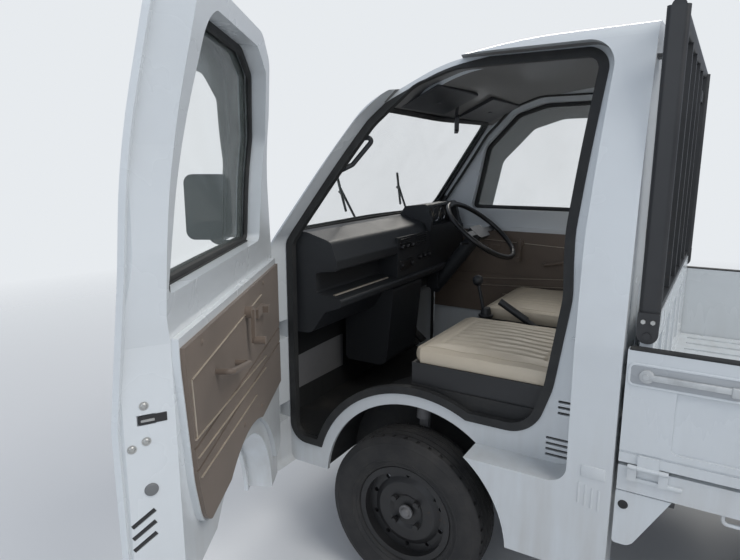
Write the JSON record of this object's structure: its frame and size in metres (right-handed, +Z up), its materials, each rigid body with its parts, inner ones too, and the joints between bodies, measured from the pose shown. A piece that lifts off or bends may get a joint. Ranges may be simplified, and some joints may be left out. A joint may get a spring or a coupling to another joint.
{
  "type": "kei truck",
  "caption": "Small white cab-over pickup truck with a drop-sided load bed, a black guard frame behind the cab and its passenger door open.",
  "frame": {"origin": "on the ground, on the truck's centre plane, halfway between its front and rear ends", "axes": "+X to the rear, -X forward, +Y to the truck's right, +Z up"},
  "size_m": [3.2932, 2.4596, 1.762],
  "materials": {
    "paint_white": "gloss",
    "paint_black": "satin",
    "chassis_black": "matte",
    "glass_clear": "gloss",
    "rubber_black": "matte",
    "tyre_black": "matte",
    "plastic_black": "matte",
    "trim_brown": "matte",
    "vinyl_beige": "matte",
    "cast_grey": "matte",
    "lens_clear": "gloss",
    "lens_red": "gloss",
    "lens_amber": "gloss",
    "visor_smoke": "gloss"
  },
  "bodies": {
    "root": {"cab_floor": "paint_white", "cab_side_left": "paint_white", "cab_side_right": "paint_white", "cab_roof": "paint_white", "cab_nose": "paint_white", "cab_back": "paint_white", "windscreen": "glass_clear", "back_window": "glass_clear", "door_seals": "rubber_black", "seat_bases": "plastic_black", "cab_fittings": "plastic_black", "front_grille": "plastic_black", "indicators": "lens_amber", "bed_skirts": "paint_white", "dashboard": "plastic_black", "seat_cushions": "vinyl_beige", "seat_backs": "vinyl_beige", "cab_levers": "plastic_black", "pedals": "paint_black", "front_bumper": "paint_white", "headlamps": "lens_clear", "wipers": "paint_black", "chassis_frame": "chassis_black", "engine": "cast_grey", "propeller_shaft": "chassis_black", "rear_axle": "chassis_black", "front_suspension": "chassis_black", "bed": "paint_white", "guard_frame": "paint_black", "tail_lamps": "lens_red", "mudguards": "rubber_black", "fuel_tank": "chassis_black", "exhaust": "cast_grey", "spare_wheel": "tyre_black"},
    "door_left": {"door_left": "paint_white", "door_trim_left": "trim_brown", "door_glass_left": "glass_clear", "door_mirror_left": "plastic_black", "door_visor_left": "visor_smoke"},
    "door_right": {"door_right": "paint_white", "door_trim_right": "trim_brown", "door_glass_right": "glass_clear", "door_mirror_right": "plastic_black", "door_visor_right": "visor_smoke"},
    "gate_left": {"gate_left": "paint_white"},
    "gate_right": {"gate_right": "paint_white"},
    "tailgate": {"tailgate": "paint_white"},
    "steering_wheel": {"steering_wheel": "plastic_black"},
    "knuckle_left": {"knuckle_left": "cast_grey"},
    "knuckle_right": {"knuckle_right": "cast_grey"},
    "wheel_front_left": {"rim_front_left": "paint_black", "tyre_front_left": "tyre_black"},
    "wheel_front_right": {"rim_front_right": "paint_black", "tyre_front_right": "tyre_black"},
    "wheel_rear_left": {"rim_rear_left": "paint_black", "tyre_rear_left": "tyre_black"},
    "wheel_rear_right": {"rim_rear_right": "paint_black", "tyre_rear_right": "tyre_black"}
  },
  "joints": [
    {"name": "door_left_hinge", "type": "hinge", "parent": "root", "child": "door_left", "pos_m": [-1.5575, -0.6565, 0.9], "axis": [0, 0, -1], "range_deg": [-61, 6]},
    {"name": "door_right_hinge", "type": "hinge", "parent": "root", "child": "door_right", "pos_m": [-1.5575, 0.6565, 0.9], "axis": [0, 0, 1], "range_deg": [0, 67]},
    {"name": "gate_left_hinge", "type": "hinge", "parent": "root", "child": "gate_left", "pos_m": [0.6525, -0.6915, 0.645], "axis": [1, 0, 0], "range_deg": [0, 178]},
    {"name": "gate_right_hinge", "type": "hinge", "parent": "root", "child": "gate_right", "pos_m": [0.6525, 0.6915, 0.645], "axis": [-1, 0, 0], "range_deg": [0, 178]},
    {"name": "tailgate_hinge", "type": "hinge", "parent": "root", "child": "tailgate", "pos_m": [1.6415, 0, 0.645], "axis": [0, 1, 0], "range_deg": [0, 178]},
    {"name": "steering", "type": "hinge", "parent": "root", "child": "steering_wheel", "pos_m": [-1.1195, 0.33, 1.098], "axis": [0.6157, 0, 0.788], "range_deg": [-540, 540]},
    {"name": "steer_left", "type": "hinge", "parent": "root", "child": "knuckle_left", "pos_m": [-0.9825, -0.575, 0.272], "axis": [0, 0.1908, 0.9816], "range_deg": [-33, 33]},
    {"name": "steer_right", "type": "hinge", "parent": "root", "child": "knuckle_right", "pos_m": [-0.9825, 0.575, 0.272], "axis": [0, -0.1908, 0.9816], "range_deg": [-33, 33]},
    {"name": "wheel_front_left_spin", "type": "hinge", "parent": "knuckle_left", "child": "wheel_front_left", "pos_m": [-0.9825, -0.605, 0.272], "axis": [0, 1, 0], "continuous": true},
    {"name": "wheel_front_right_spin", "type": "hinge", "parent": "knuckle_right", "child": "wheel_front_right", "pos_m": [-0.9825, 0.605, 0.272], "axis": [0, 1, 0], "continuous": true},
    {"name": "wheel_rear_left_spin", "type": "hinge", "parent": "root", "child": "wheel_rear_left", "pos_m": [0.8675, -0.605, 0.272], "axis": [0, 1, 0], "continuous": true},
    {"name": "wheel_rear_right_spin", "type": "hinge", "parent": "root", "child": "wheel_rear_right", "pos_m": [0.8675, 0.605, 0.272], "axis": [0, 1, 0], "continuous": true}
  ],
  "couplings": [
    {"joint": "steer_left", "follows": "steering", "ratio": 0.061111},
    {"joint": "steer_right", "follows": "steering", "ratio": 0.061111}
  ]
}
